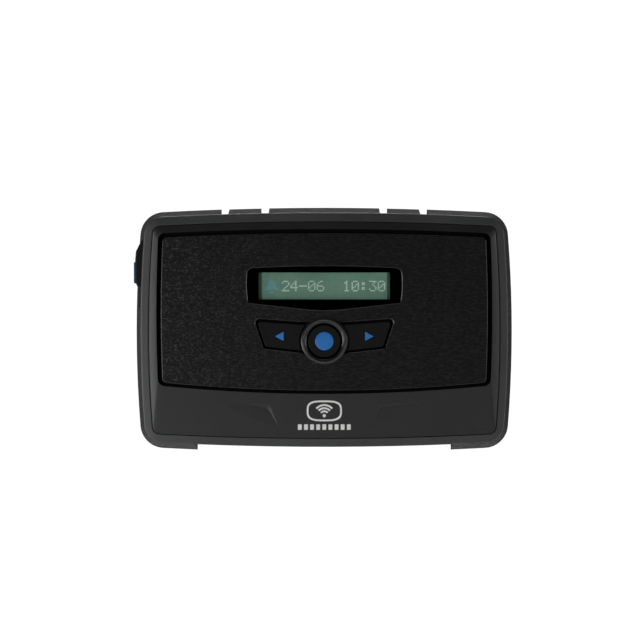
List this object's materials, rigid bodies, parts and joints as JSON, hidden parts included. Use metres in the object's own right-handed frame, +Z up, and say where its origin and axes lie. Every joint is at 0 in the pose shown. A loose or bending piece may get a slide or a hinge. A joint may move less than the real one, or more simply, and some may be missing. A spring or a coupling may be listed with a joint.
{
  "type": "wall-mounted control unit with character display",
  "caption": "Landscape wall-mounted control box: flared tray, swing-down front with a character display, round select key between arrow keys, plug-in memory module.",
  "frame": {"origin": "middle of the flat back face, on the wall", "axes": "+X to the right seen from the front, +Z up, the front faces -Y and +Y points into the wall"},
  "size_m": [0.1728, 0.0332, 0.111],
  "materials": {
    "tray_plastic": "fine moulded texture",
    "frame_plastic": "satin moulded",
    "fascia_plastic": "satin moulded",
    "face_plastic": "brushed, satin",
    "lens_plastic": "clear, polished",
    "mask_ink": "printed black",
    "collar_plastic": "polished",
    "key_plastic": "satin",
    "mark_plastic": "satin blue",
    "module_plastic": "satin blue",
    "board_laminate": "solder mask",
    "contact_metal": "plated",
    "screw_steel": "zinc plated",
    "bezel_metal": "black satin",
    "display_glass": "polarised, green",
    "backlight_plastic": "diffusing",
    "strip_rubber": "soft",
    "component_plastic": "moulded",
    "terminal_plastic": "moulded green",
    "relay_plastic": "moulded blue",
    "can_aluminium": "bright",
    "clip_steel": "plated",
    "header_plastic": "moulded"
  },
  "bodies": {
    "base": {"rear_tray": "tray_plastic", "module_cowl": "frame_plastic", "main_board": "board_laminate", "board_screws": "screw_steel", "display_posts": "can_aluminium", "display_board": "board_laminate", "display_screws": "screw_steel", "board_link_header": "header_plastic", "board_link_pins": "contact_metal", "lcd_posts": "can_aluminium", "lcd_board": "board_laminate", "lcd_screws": "screw_steel", "lcd_header": "header_plastic", "lcd_pins": "contact_metal", "lcd_bezel": "bezel_metal", "lcd_backlight": "backlight_plastic", "lcd_contact_strips": "strip_rubber", "lcd_glass": "display_glass", "switch_housings": "component_plastic", "switch_covers": "clip_steel", "switch_legs": "contact_metal", "terminal_blocks": "terminal_plastic", "terminal_screws": "screw_steel", "relays": "relay_plastic", "processor": "component_plastic", "processor_leads": "clip_steel", "capacitors": "can_aluminium", "sounder": "component_plastic", "clock_cell": "clip_steel", "cell_holder": "component_plastic", "cell_clip": "clip_steel", "memory_socket": "component_plastic"},
    "front_cover": {"front_frame": "frame_plastic", "fascia": "fascia_plastic", "face_panel": "face_plastic", "display_lens": "lens_plastic", "lens_mask": "mask_ink", "select_collar": "collar_plastic", "panel_screws": "screw_steel"},
    "left_key": {"left_key": "key_plastic", "left_arrow": "mark_plastic"},
    "select_key": {"select_key": "key_plastic", "select_dot": "mark_plastic"},
    "right_key": {"right_key": "key_plastic", "right_arrow": "mark_plastic"},
    "left_plunger": {"switch_plunger_left": "component_plastic"},
    "select_plunger": {"switch_plunger_select": "component_plastic"},
    "right_plunger": {"switch_plunger_right": "component_plastic"},
    "memory_module": {"module_case": "module_plastic", "module_board": "board_laminate", "module_contacts": "contact_metal"},
    "left_latch": {"latch_tab_left": "tray_plastic"},
    "right_latch": {"latch_tab_right": "tray_plastic"}
  },
  "joints": [
    {"name": "cover_swing", "type": "hinge", "parent": "base", "child": "front_cover", "pos_m": [0, -0.0198, -0.05145], "axis": [1, 0, 0], "range_deg": [0, 75]},
    {"name": "left_press", "type": "slide", "parent": "front_cover", "child": "left_key", "axis": [0, 1, 0], "range_m": [0, 0.0005], "stiffness_N_per_m": 1000, "springref_m": -0.0008},
    {"name": "select_press", "type": "slide", "parent": "front_cover", "child": "select_key", "axis": [0, 1, 0], "range_m": [0, 0.0005], "stiffness_N_per_m": 1000, "springref_m": -0.0008},
    {"name": "right_press", "type": "slide", "parent": "front_cover", "child": "right_key", "axis": [0, 1, 0], "range_m": [0, 0.0005], "stiffness_N_per_m": 1000, "springref_m": -0.0008},
    {"name": "left_plunge", "type": "slide", "parent": "base", "child": "left_plunger", "axis": [0, 1, 0], "range_m": [0, 0.0005]},
    {"name": "select_plunge", "type": "slide", "parent": "base", "child": "select_plunger", "axis": [0, 1, 0], "range_m": [0, 0.0005]},
    {"name": "right_plunge", "type": "slide", "parent": "base", "child": "right_plunger", "axis": [0, 1, 0], "range_m": [0, 0.0005]},
    {"name": "module_pull", "type": "slide", "parent": "base", "child": "memory_module", "axis": [-1, 0, 0], "range_m": [0, 0.026]},
    {"name": "left_latch_flex", "type": "hinge", "parent": "base", "child": "left_latch", "pos_m": [-0.03615, -0.0017, 0.05065], "axis": [-1, 0, 0], "range_deg": [0, 4], "stiffness_Nm_per_rad": 0.8},
    {"name": "right_latch_flex", "type": "hinge", "parent": "base", "child": "right_latch", "pos_m": [0.03615, -0.0017, 0.05065], "axis": [-1, 0, 0], "range_deg": [0, 4], "stiffness_Nm_per_rad": 0.8}
  ],
  "couplings": [
    {"joint": "left_plunge", "follows": "left_press", "ratio": 1},
    {"joint": "select_plunge", "follows": "select_press", "ratio": 1},
    {"joint": "right_plunge", "follows": "right_press", "ratio": 1}
  ]
}
